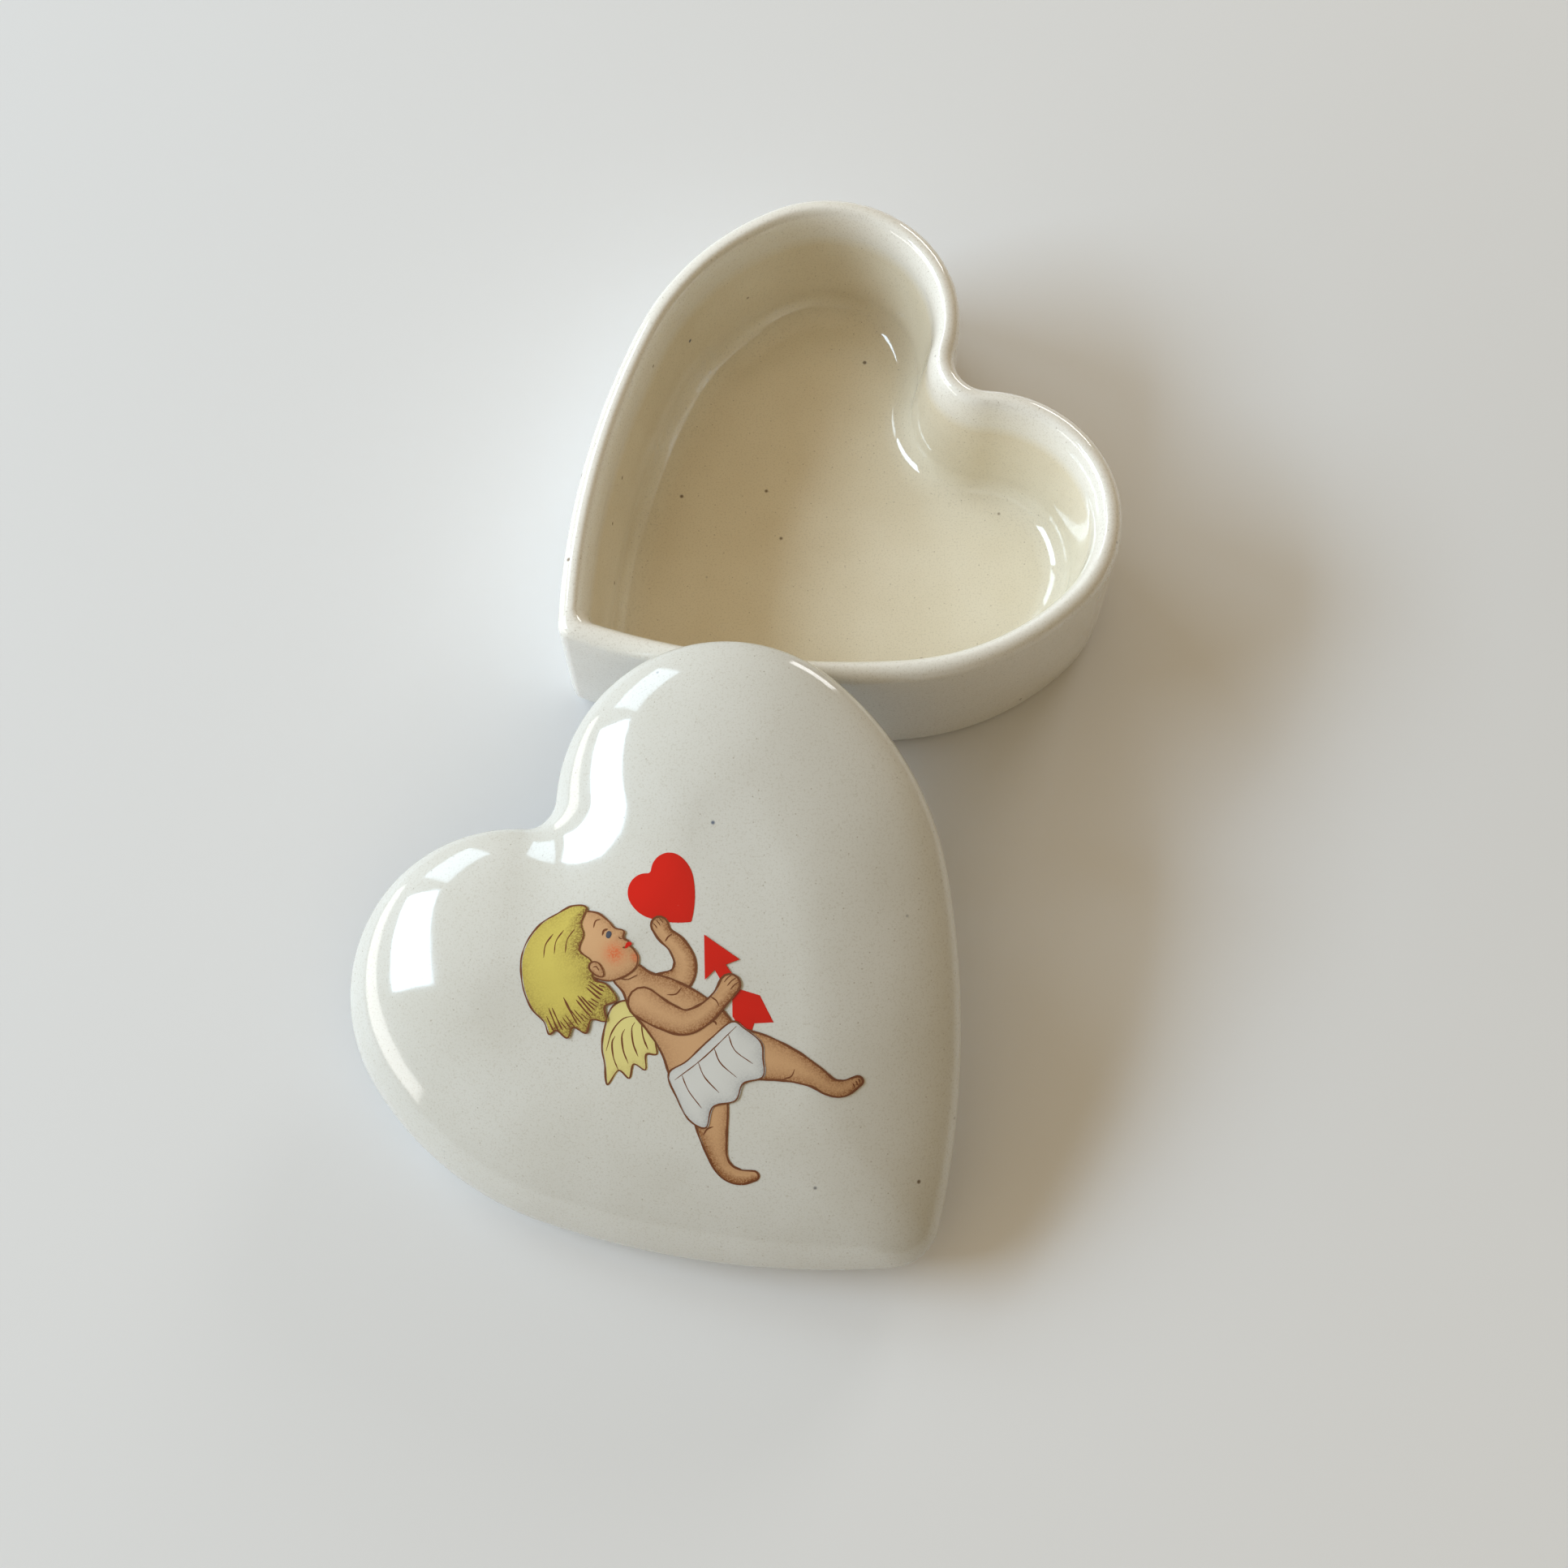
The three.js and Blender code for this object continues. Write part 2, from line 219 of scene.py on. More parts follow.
def dish_shape():
    """From under the middle, round the foot ring, up the wall, over the rim and down to the floor."""
    rim_inset = DISH_INSET + RIM_RADIUS
    ring_inner = FOOT_INSET + FOOT_FILLET + FOOT_RING
    recess = (ring_inner + FOOT_RECESS, FOOT_RECESS)
    foot = bend(FOOT_INSET + FOOT_FILLET, FOOT_FILLET, FOOT_FILLET, 270, 180, 8)
    rim = bend(rim_inset, DISH_HEIGHT - RIM_RADIUS, RIM_RADIUS, 180, 90, 8)
    rim += [(inset, DISH_HEIGHT - RIM_SLOPE * (1 - z)) for inset, z in inner_rim(rim_inset)]
    fillet = bend(INNER_INSET + FLOOR_FILLET, FLOOR_THICKNESS + FLOOR_FILLET, FLOOR_FILLET, 180, 270, 16)
    ring_edge = (ring_inner, 0.0)
    section = [recess, *straight(recess, ring_edge, 2), ring_edge, *foot]
    section += [*straight(foot[-1], rim[0], 6), *rim, *straight(rim[-1], fillet[0], 6), *fillet]
    rings = [raised(dish_heart(inset), z) for inset, z in section]
    underside = [raised(shrunk(dish_heart(recess[0]), s), FOOT_RECESS) for s in (0.3, 0.6, 0.9)]
    floor = [raised(shrunk(dish_heart(fillet[-1][0]), s), FLOOR_THICKNESS) for s in (0.9, 0.6, 0.3)]
    first = [*MIDDLE, FOOT_RECESS]
    last = [*MIDDLE, FLOOR_THICKNESS]
    return loft(first, underside + rings + floor, last)


def glaze_pool_and_shade(vertices):
    """How far the glaze has pooled at each point, which also paints shade: thin outside and on the rim,
    thick and shaded within the dish's hollow.
    """
    heights = vertices[:, 2]
    within = np.arange(len(heights)) > heights.argmax()
    start = DISH_HEIGHT - RIM_SLOPE + POOL_AND_SHADE_ABOVE
    return np.clip((start - heights) / POOL_AND_SHADE_FADE, 0, 1) * within


# ------------------------------------------------------------------ the lid
def dome(points, inset, width, rise):
    """Heights of a rounded shoulder that rises over that width and carries the crown."""
    x, y = points[:, 0], points[:, 1]
    crown = CROWN_RISE * np.exp(-(x**2 + (y - CROWN_Y) ** 2) / CROWN_SPREAD**2)
    left = 1 - np.clip(inset / width, 0, 1)
    share = (1 - left**SHOULDER_POWER) ** (1 / SHOULDER_POWER)
    return LID_SKIRT + share * (rise + crown)


def top_height(points, inset=SHOULDER_WIDTH):
    return dome(points, inset, SHOULDER_WIDTH, SHOULDER_RISE)


def ceiling_height(points, inset=SHOULDER_WIDTH):
    return dome(points, inset - LID_WALL, SHOULDER_WIDTH - LID_WALL, SHOULDER_RISE - LID_CEILING)


def dome_rings(outline_at, start, height_at):
    """Rings from the foot of the shoulder to the middle of the crown."""
    angles = np.linspace(0, math.pi / 2, SHOULDER_RINGS + 1)
    rings = []
    for inset in start + (SHOULDER_WIDTH - start) * (1 - np.cos(angles)):
        outline = outline_at(inset)
        rings.append(raised(outline, height_at(outline, inset)))
    edge = outline_at(SHOULDER_WIDTH)
    for share in np.linspace(1, 0, CROWN_RINGS + 1)[1:-1]:
        outline = shrunk(edge, share)
        rings.append(raised(outline, height_at(outline)))
    return rings


def lid_shape():
    """From the middle of the ceiling, out under the lip, up the skirt and over the dome."""
    half_wall = LID_WALL / 2
    ceiling = dome_rings(cavity_heart, LID_WALL, ceiling_height)[::-1]
    lip = []  # half on the hollow's outline and half on the lid's own
    for inset, z in bend(half_wall, half_wall, half_wall, 0, -180, 12):
        outline = cavity_heart(inset) if inset > half_wall else lid_heart(inset)
        lip.append(raised(outline, z))
    skirt = [raised(lid_heart(0), z) for _, z in straight((0, half_wall), (0, LID_SKIRT), 3)]
    top = dome_rings(lid_heart, 0, top_height)
    middle = np.array([MIDDLE])
    first = [*MIDDLE, ceiling_height(middle)[0]]
    last = [*MIDDLE, top_height(middle)[0]]
    return loft(first, ceiling + lip + skirt + top, last)


# ------------------------------------------------------------------ where the two pieces are
def placed(vertices, turn, node):
    """The vertices turned, then moved so that their box is centred on the CAD node's box."""
    turned = vertices @ np.array(turn).T
    low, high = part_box(node)
    goal = np.array((low + high) / 2) / MM
    shift = goal - (turned.min(0) + turned.max(0)) / 2
    return turned + shift, shift


lean_axis = Vector((math.cos(LEAN_DIRECTION), math.sin(LEAN_DIRECTION), 0))
dish_turn = Matrix.Rotation(DISH_HEADING, 3, "Z")
lid_turn = Matrix.Rotation(LEAN_ANGLE, 3, lean_axis) @ Matrix.Rotation(LID_HEADING, 3, "Z")


# ------------------------------------------------------------------ materials
class Nodes:
    """Short calls for building one material's nodes."""

    def __init__(self, name):
        self.material = bpy.data.materials.new(name)
        self.material.use_nodes = True
        self.tree = self.material.node_tree
        self.shader = self.tree.nodes["Principled BSDF"]
        self.coordinates = self.add("ShaderNodeTexCoord").outputs["Object"]

    def add(self, kind, **inputs):
        node = self.tree.nodes.new(kind)
        for key, value in inputs.items():
            self.feed(node.inputs[key.replace("_", " ")], value)
        return node

    def feed(self, socket, value):
        if isinstance(value, bpy.types.NodeSocket):
            self.tree.links.new(value, socket)
        else:
            socket.default_value = value

    def noise(self, size, detail=2.0, roughness=0.5):
        """Noise with blotches of that many millimetres, from 0 to 1."""
        node = self.add("ShaderNodeTexNoise", Vector=self.coordinates, Scale=1 / (size * MM))
        self.feed(node.inputs["Detail"], detail)
        self.feed(node.inputs["Roughness"], roughness)
        return node.outputs["Fac"]

    def spread(self, value, low, high, out_low=0.0, out_high=1.0):
        """The value, stretched from low..high to out_low..out_high and clamped."""
        node = self.add("ShaderNodeMapRange", Value=value)
        node.inputs["From Min"].default_value = low
        node.inputs["From Max"].default_value = high
        node.inputs["To Min"].default_value = out_low
        node.inputs["To Max"].default_value = out_high
        return node.outputs["Result"]

    def mix(self, share, first, second):
        node = self.tree.nodes.new("ShaderNodeMix")
        node.data_type = "RGBA"
        self.feed(node.inputs[0], share)
        self.feed(node.inputs[6], first)
        self.feed(node.inputs[7], second)
        return node.outputs[2]

    def maths(self, operation, first, second):
        node = self.tree.nodes.new("ShaderNodeMath")
        node.operation = operation
        self.feed(node.inputs[0], first)
        self.feed(node.inputs[1], second)
        return node.outputs[0]

    def specks(self, spacing, radius, kept):
        """Round specks: one to a cell of that spacing, in only that share of the cells."""
        cells = self.add("ShaderNodeTexVoronoi", Vector=self.coordinates, Scale=1 / (spacing * MM))
        near = self.spread(cells.outputs["Distance"], radius / spacing, 0.5 * radius / spacing)
        pick = self.add("ShaderNodeSeparateColor", Color=cells.outputs["Color"]).outputs[0]
        chosen = self.maths("LESS_THAN", pick, kept)
        return self.maths("MULTIPLY", near, chosen)


LID_COAT = 0.3  # how clear the glaze's top layer is
DISH_COAT = 0.6


def rgb(red, green, blue):
    return (red, green, blue, 1.0)


def gloss(n, coat=LID_COAT):
    """The same wavy, shiny surface on glaze and ink."""
    n.feed(n.shader.inputs["Roughness"], n.spread(n.noise(0.6, 2.0), 0.3, 0.7, 0.07, 0.11))
    n.shader.inputs["IOR"].default_value = 1.5
    n.shader.inputs["Coat Weight"].default_value = coat
    n.shader.inputs["Coat Roughness"].default_value = 0.02
    ripple = n.maths("ADD", n.noise(5.0, 1.0), n.maths("MULTIPLY", n.noise(0.5, 1.0), 0.05))
    bump = n.add("ShaderNodeBump", Height=ripple, Strength=0.35, Distance=0.12 * MM)
    n.feed(n.shader.inputs["Normal"], bump.outputs["Normal"])


def glaze(name, light, deep, specked, coat, thin_and_sheen=None):
    """Cream glaze over a pale body: fine peppering, cloudy depth, a few iron specks.

    `specked` is the share of places that have a speck. Where there is a thin colour, a number on each
    vertex says how thick the glaze lies; it also paints shade into the dish's hollow, and the whiter thin
    colour partly paints the reflection on the rim and outer wall.
    """
    n = Nodes(name)
    cloud = n.spread(n.noise(9.0, 3.0), 0.3, 0.7)
    colour = n.mix(cloud, light, deep)
    if thin_and_sheen:
        pool_and_shade = n.add("ShaderNodeAttribute")
        pool_and_shade.attribute_name = "pool_and_shade"
        # thick glaze and painted shade in the hollow; thin glaze and a painted reflection on the rim and
        # outside
        colour = n.mix(pool_and_shade.outputs["Fac"], thin_and_sheen, colour)
    pepper = n.spread(n.noise(0.2, 3.0, 0.7), 0.52, 0.72, 0.0, 0.36)
    colour = n.mix(pepper, colour, rgb(0.36, 0.31, 0.22))
    dust = n.maths("MULTIPLY", n.specks(0.8, 0.09, 0.4), 0.5)
    colour = n.mix(dust, colour, rgb(0.25, 0.19, 0.12))
    iron = n.maths("MULTIPLY", n.specks(4.5, 0.27, specked), 0.9)
    stain = n.mix(n.spread(n.noise(12.0), 0.55, 0.6), rgb(0.14, 0.09, 0.045), rgb(0.08, 0.12, 0.20))
    colour = n.mix(iron, colour, stain)
    n.feed(n.shader.inputs["Base Color"], colour)
    gloss(n, coat)
    return n.material


# the dish's thin colour is whiter partly as a painted reflection on the rim and outer wall; its inside
# colours are partly painted shade
DISH_GLAZE = glaze(
    "glaze_dish",
    light=rgb(0.815, 0.75, 0.60),
    deep=rgb(0.76, 0.685, 0.525),
    specked=0.9,
    coat=DISH_COAT,
    thin_and_sheen=rgb(0.885, 0.865, 0.80),
)
LID_GLAZE = glaze(
    "glaze_lid",
    light=rgb(0.715, 0.715, 0.672),
    deep=rgb(0.675, 0.67, 0.617),
    specked=0.4,
    coat=LID_COAT,
)

dish_vertices, dish_faces = dish_shape()
# how thick the glaze lies, and where the hollow gets painted shade, for each vertex
pool_and_shade = glaze_pool_and_shade(dish_vertices)
dish_vertices, _ = placed(dish_vertices, dish_turn, "dish")
dish_skin = add_mesh("dish_skin", dish_vertices, dish_faces, DISH_GLAZE, "dish", ["dish"])
store(dish_skin.data, "pool_and_shade", pool_and_shade)

lid_vertices, lid_faces = lid_shape()
lid_top = BVHTree.FromPolygons(lid_vertices.tolist(), lid_faces)
lid_vertices, lid_shift = placed(lid_vertices, lid_turn, "lid")
add_mesh("lid_skin", lid_vertices, lid_faces, LID_GLAZE, "lid", ["lid"])


# ------------------------------------------------------------------ the print's inks
def ink(name, plain, shaded, grain=0.3, blush=None):
    """Printed ink: airbrushed towards its shaded colour where the drawing's own shade says."""
    n = Nodes(name)
    shade = n.add("ShaderNodeAttribute")
    shade.attribute_name = "shade"
    speckle = n.spread(n.noise(0.16, 3.0, 0.7), 0.38, 0.62, 1 - grain, 1 + grain)
    colour = n.mix(n.maths("MULTIPLY", shade.outputs["Fac"], speckle), plain, shaded)
    if blush:
        warm = n.add("ShaderNodeAttribute")
        warm.attribute_name = "blush"
        colour = n.mix(n.maths("MULTIPLY", warm.outputs["Fac"], speckle), colour, blush)
    lost = n.spread(n.noise(0.35, 4.0, 0.7), 0.70, 0.78, 0.0, 0.35)
    colour = n.mix(lost, colour, rgb(0.78, 0.74, 0.64))
    n.feed(n.shader.inputs["Base Color"], colour)
    gloss(n)
    return n.material


SKIN_INK = ink("ink_skin", rgb(0.66, 0.395, 0.205), rgb(0.235, 0.078, 0.022), 0.5, rgb(0.72, 0.15, 0.05))
HAIR_INK = ink("ink_hair", rgb(0.68, 0.575, 0.13), rgb(0.20, 0.105, 0.025), 0.6)
WING_INK = ink("ink_wing", rgb(0.76, 0.68, 0.26), rgb(0.42, 0.30, 0.10), 0.5)
CLOTH_INK = ink("ink_cloth", rgb(0.71, 0.72, 0.70), rgb(0.36, 0.37, 0.38), 0.4)
RED_INK = ink("ink_red", rgb(0.68, 0.005, 0.003), rgb(0.45, 0.004, 0.003), 0.2)
EYE_INK = ink("ink_eye", rgb(0.07, 0.085, 0.12), rgb(0.03, 0.03, 0.05), 0.3)
LINE_INK = ink("ink_line", rgb(0.17, 0.055, 0.022), rgb(0.07, 0.03, 0.02), 0.3)

# ------------------------------------------------------------------ drawing on the lid
FILM = 0.008  # an ink's thickness
FILM_GAP = 0.015  # from the glaze to the first ink
LEVEL = 0.02  # from one layer of the drawing to the next
SAMPLE = 0.14  # spacing of points along an outline
GRID = 0.28  # spacing of points inside a patch
REGISTER = np.array([0.10, -0.09])  # the colours are printed slightly off their lines
ABOVE_LID = 30.0  # a height from which the whole lid is below
HEART_SIZE = 0.108  # the printed heart's size, as a share of the lid's
HEART_PLACE = np.array([5.35, -0.9])


def spline(points, closed):
    """A smooth Catmull-Rom path through points of any number of values, sampled evenly."""
    points = np.array(points, float)
    if closed:
        padded = np.vstack([points[-1], points, points[:2]])
    else:
        padded = np.vstack([2 * points[0] - points[1], points, 2 * points[-1] - points[-2]])
    path = []
    for a, b, c, d in zip(padded, padded[1:], padded[2:], padded[3:]):
        steps = max(2, int(np.linalg.norm((c - b)[:2]) / SAMPLE))
        for t in np.linspace(0, 1, steps, endpoint=False):
            bend_in = (2 * a - 5 * b + 4 * c - d) * t**2
            bend_out = (3 * b - a - 3 * c + d) * t**3
            path.append(0.5 * (2 * b + (c - a) * t + bend_in + bend_out))
    if not closed:
        path.append(points[-1])
    return np.array(path)


def normals(path, closed):
    """Unit vectors across the path, to its right."""
    if closed:
        along = np.roll(path, -1, 0) - np.roll(path, 1, 0)
    else:
        along = np.gradient(path, axis=0)
    along = along[:, :2] / np.linalg.norm(along[:, :2], axis=1)[:, None]
    return np.column_stack([along[:, 1], -along[:, 0]])


def limb(points):
    """The outline of a limb along points (x, y, half width), with round ends."""
    path = spline(points, False)
    across = normals(path, False)
    right = path[:, :2] + across * path[:, 2:]
    left = path[:, :2] - across * path[:, 2:]

    def cap(index, side):
        start = math.atan2(across[index][1], across[index][0]) + (0 if side > 0 else math.pi)
        angles = start + np.linspace(0, math.pi, 8)[1:-1]
        reach = path[index][2]
        return path[index][:2] + reach * np.column_stack([np.cos(angles), np.sin(angles)])

    return np.vstack([right, cap(-1, 1), left[::-1], cap(0, -1)])


def on_lid(points, lift):
    """Points of the drawing, laid over the glaze and moved to where the lid leans."""
    down = Vector((0, 0, -1))
    heights = [lid_top.ray_cast(Vector((x, y, ABOVE_LID)), down)[0].z for x, y in points]
    flat = np.column_stack([points, np.array(heights) + lift])
    return flat @ np.array(lid_turn).T + lid_shift


def inside(points, outline):
    """Whether each point lies in the outline, by counting the edges to its right."""
    x, y = points[:, :1], points[:, 1:]
    ax, ay = outline[:, 0], outline[:, 1]
    bx, by = np.roll(ax, -1), np.roll(ay, -1)
    crosses = (ay > y) != (by > y)
    slope = np.where(by == ay, 1, by - ay)
    hit = x < (bx - ax) * (y - ay) / slope + ax
    return (crosses & hit).sum(1) % 2 == 1


def to_outline(points, outline):
    """Distance to the outline, and the index of its nearest point."""
    gaps = np.linalg.norm(points[:, None] - outline[None], axis=2)
    return gaps.min(1), gaps.argmin(1)


def filled(outline):
    """Points and triangles that fill the outline, on a grid inside it."""
    low, high = outline.min(0), outline.max(0)
    across = np.meshgrid(np.arange(low[0], high[0], GRID), np.arange(low[1], high[1], GRID))
    grid = np.column_stack([a.ravel() for a in across])
    grid = grid[inside(grid, outline)]
    grid = grid[to_outline(grid, outline)[0] > 0.5 * SAMPLE]
    flat = [Vector(p) for p in np.vstack([outline, grid])]
    found = geometry.delaunay_2d_cdt(flat, [], [list(range(len(outline)))], 1, 1e-5)
    return np.array([tuple(v) for v in found[0]]), [tuple(f) for f in found[2]]


def film(points, faces, level):
    """The filled shape as a thin closed solid that follows the lid."""
    edges = {(a, b): True for face in faces for a, b in zip(face, face[1:] + face[:1])}
    rim = [(a, b) for a, b in edges if (b, a) not in edges]
    count = len(points)
    lift = FILM_GAP + level * LEVEL
    vertices = np.vstack([on_lid(points, lift + FILM), on_lid(points, lift)])
    solid = faces + [tuple(i + count for i in reversed(f)) for f in faces]
    solid += [(b, a, a + count, b + count) for a, b in rim]
    return vertices, solid


def edge_shade(points, outline, soft, depth, lit):
    """Shade along the outline, deepest on the side that faces away from the light."""
    gap, nearest = to_outline(points, outline)
    outward = normals(outline, True)[nearest] * winding(outline)
    away = 0.5 - 0.5 * outward @ (np.array(lit) / np.hypot(*lit))
    return np.clip(depth * (0.25 + 0.95 * away) * np.exp(-gap / soft), 0, 1)


def blushes(points, glow):
    """Warm spots (x, y, radius), as on a cheek."""
    warm = np.zeros(len(points))
    for x, y, radius in glow:
        warm += np.exp(-((points[:, 0] - x) ** 2 + (points[:, 1] - y) ** 2) / radius**2)
    return np.clip(warm, 0, 1) * 0.75


def patch(name, outline, level, material, slot_name, node,
          soft=0.6, depth=1.0, glow=(), lit=(-0.6, 0.8)):
    """One area of ink."""
    outline = outline + REGISTER
    points, faces = filled(outline)
    vertices, solid = film(points, faces, level)
    piece = add_mesh(name, vertices, solid, material, "lid", [node])
    store(piece.data, "shade", np.tile(edge_shade(points, outline, soft, depth, lit), 2))
    store(piece.data, "blush", np.tile(blushes(points, glow), 2))


def winding(outline):
    """1 where the outline's normals point out of it, -1 where they point in."""
    x, y = outline[:, 0], outline[:, 1]
    area = (x * np.roll(y, -1) - y * np.roll(x, -1)).sum()
    return 1 if area > 0 else -1


class Lines:
    """Drawn lines, gathered into one mesh of thin closed ribbons."""

    def __init__(self, level):
        self.lift = FILM_GAP + (level + 0.5) * LEVEL
        self.vertices = []
        self.faces = []

    def draw(self, path, width, closed=False):
        """A ribbon along the path, thick and thin like a pen line, tapered at open ends."""
        count = len(path)
        at = np.arange(count) * SAMPLE
        pen = 0.5 * width * (1 + 0.22 * np.sin(1.7 * at + path[0][0]) + 0.13 * np.sin(4.1 * at))
        if not closed:
            share = np.linspace(0, 1, count)
            pen = pen * np.clip(0.25 + 4 * np.minimum(share, 1 - share), 0, 1)
        across = normals(path, closed)
        right = path[:, :2] + across * pen[:, None]
        left = path[:, :2] - across * pen[:, None]
        start = sum(len(v) for v in self.vertices)
        corners = [on_lid(left, self.lift + FILM), on_lid(right, self.lift + FILM),
                   on_lid(right, self.lift), on_lid(left, self.lift)]
        self.vertices.append(np.stack(corners, 1).reshape(-1, 3))
        last = count if closed else count - 1
        for i in range(last):
            here = start + 4 * i
            after = start + 4 * ((i + 1) % count)
            for k in range(4):
                m = (k + 1) % 4
                self.faces.append((here + k, here + m, after + m, after + k))
        if not closed:
            end = start + 4 * (count - 1)
            self.faces.append((start + 3, start + 2, start + 1, start))
            self.faces.append((end, end + 1, end + 2, end + 3))

    def curve(self, points, width=0.17):
        self.draw(spline(points, False), width)

    def finish(self, name, node):
        vertices = np.vstack(self.vertices)
        piece = add_mesh(name, vertices, self.faces, LINE_INK, "lid", [node])
        store(piece.data, "shade", np.zeros(len(vertices)))


def part(name, outline, level, material, slot_name, node, width=0.19, **shading):
    """An area of ink and the pen line round it."""
    patch(name, outline, level, material, slot_name, node, **shading)
    lines = Lines(level)
    lines.draw(outline, width, closed=True)
    return lines


# ------------------------------------------------------------------ the cherub, of a plain own design
def draw_wing():
    outline = spline([(-3.0, -9.4), (-3.9, -7.4), (-5.4, -6.9), (-7.0, -7.7), (-8.6, -9.0), (-9.5, -10.4),
                      (-10.6, -12.0), (-8.9, -11.7), (-8.6, -12.9), (-7.4, -12.2), (-6.9, -13.3),
                      (-5.9, -12.3), (-5.1, -12.9), (-4.4, -11.9), (-3.4, -11.0)], True)
    lines = part("wing_ink", outline, 0, WING_INK, "ink_wing", "print_wing", 0.15, soft=0.35, depth=0.5)
    for step in range(5):
        x = -8.9 + 1.15 * step
        y = -11.7 - 0.12 * step
        lines.curve([(x, y), (x + 0.45, y + 1.2), (x + 1.25, y + 2.3), (x + 1.9, y + 2.6)], 0.13)
    lines.curve([(-8.6, -9.6), (-6.9, -8.6), (-5.3, -8.4), (-4.1, -9.1)], 0.11)
    lines.finish("wing_lines", "print_wing")


def draw_legs():
    far = limb([(-3.2, -17.2, 2.1), (-4.7, -19.8, 1.75), (-6.2, -22.0, 1.3), (-7.3, -23.9, 0.85),
                (-7.6, -25.3, 0.8), (-7.1, -26.5, 0.75), (-6.0, -27.3, 0.5)])
    lines = part("far_leg_ink", far, 1, SKIN_INK, "ink_skin", "print_skin", lit=(0.7, 0.7))
    lines.curve([(-6.9, -21.4), (-6.2, -21.2), (-5.6, -21.4)], 0.12)
    lines.finish("far_leg_lines", "print_skin")
    near = limb([(-0.8, -16.4, 2.5), (1.7, -19.0, 2.2), (3.5, -21.6, 1.55), (4.6, -24.0, 1.0),
                 (5.0, -25.6, 0.8), (5.8, -26.6, 0.75), (7.2, -27.0, 0.48)])
    lines = part("near_leg_ink", near, 2, SKIN_INK, "ink_skin", "print_skin", soft=0.65)
    lines.curve([(2.3, -22.3), (3.0, -22.6), (3.7, -22.3)], 0.12)
    for x in (6.6, 6.95, 7.25):
        lines.curve([(x, -27.3), (x + 0.12, -27.05), (x + 0.16, -26.85)], 0.1)
    lines.finish("near_leg_lines", "print_skin")


def draw_body():
    far_arm = limb([(-0.8, -8.4, 1.2), (1.1, -9.1, 1.15), (2.5, -8.3, 1.0), (3.0, -6.6, 0.85),
                    (2.8, -5.1, 0.72), (3.0, -4.1, 0.8)])
    lines = part("far_arm_ink", far_arm, 1, SKIN_INK, "ink_skin", "print_skin", lit=(-0.9, 0.2))
    lines.curve([(2.4, -5.6), (2.9, -5.45), (3.4, -5.5)], 0.12)
    for x in (2.65, 3.05, 3.4):
        lines.curve([(x, -3.5), (x + 0.03, -3.9), (x - 0.03, -4.2)], 0.09)
    lines.finish("far_arm_lines", "print_skin")
    torso = spline([(-1.2, -5.2), (-0.5, -6.9), (0.7, -8.8), (1.8, -11.6), (2.3, -14.4), (1.6, -16.8),
                    (0.2, -18.3), (-2.4, -19.0), (-5.0, -18.2), (-5.8, -16.2), (-4.7, -13.2),
                    (-4.3, -10.6), (-4.3, -8.2), (-3.7, -6.6), (-3.5, -5.0)], True)
    lines = part("torso_ink", torso, 3, SKIN_INK, "ink_skin", "print_skin", soft=1.0)
    lines.curve([(-0.7, -9.4), (0.0, -9.9), (0.8, -9.8)], 0.12)
    lines.curve([(0.9, -14.0), (1.05, -14.25), (0.95, -14.5)], 0.13)
    lines.finish("torso_lines", "print_skin")
    near_arm = limb([(-2.9, -8.5, 1.45), (-2.2, -10.6, 1.3), (-1.1, -12.4, 1.15), (0.8, -13.0, 0.95),
                     (2.8, -12.9, 0.8), (4.4, -12.5, 0.95)])
    lines = part("near_arm_ink", near_arm, 5, SKIN_INK, "ink_skin", "print_skin", lit=(-0.3, 1.0))
    lines.curve([(2.3, -12.2), (2.45, -12.8), (2.3, -13.4)], 0.12)
    for y in (-12.0, -12.45, -12.9):
        lines.curve([(4.1, y), (4.7, y + 0.08), (5.25, y + 0.02)], 0.11)
    lines.finish("near_arm_lines", "print_skin")


def draw_cloth():
    outline = spline([(-5.5, -15.0), (-3.4, -15.2), (-0.6, -15.1), (2.2, -15.2), (2.7, -16.4), (3.0, -18.4),
                      (2.2, -19.6), (1.0, -20.9), (-0.8, -20.2), (-2.4, -20.9), (-4.4, -20.0),
                      (-6.2, -21.0), (-6.9, -19.4), (-6.4, -17.2)], True)
    lines = part("cloth_ink", outline, 4, CLOTH_INK, "ink_cloth", "print_cloth", 0.14, soft=0.6, depth=0.7)
    for x in (-4.6, -2.6, -0.6, 1.2):
        lines.curve([(x, -15.9), (x - 0.5, -17.4), (x - 0.2 + 0.1 * x, -19.4)], 0.1)
    lines.curve([(-5.4, -15.8), (-2.0, -16.0), (2.3, -15.8)], 0.1)
    lines.finish("cloth_lines", "print_cloth")


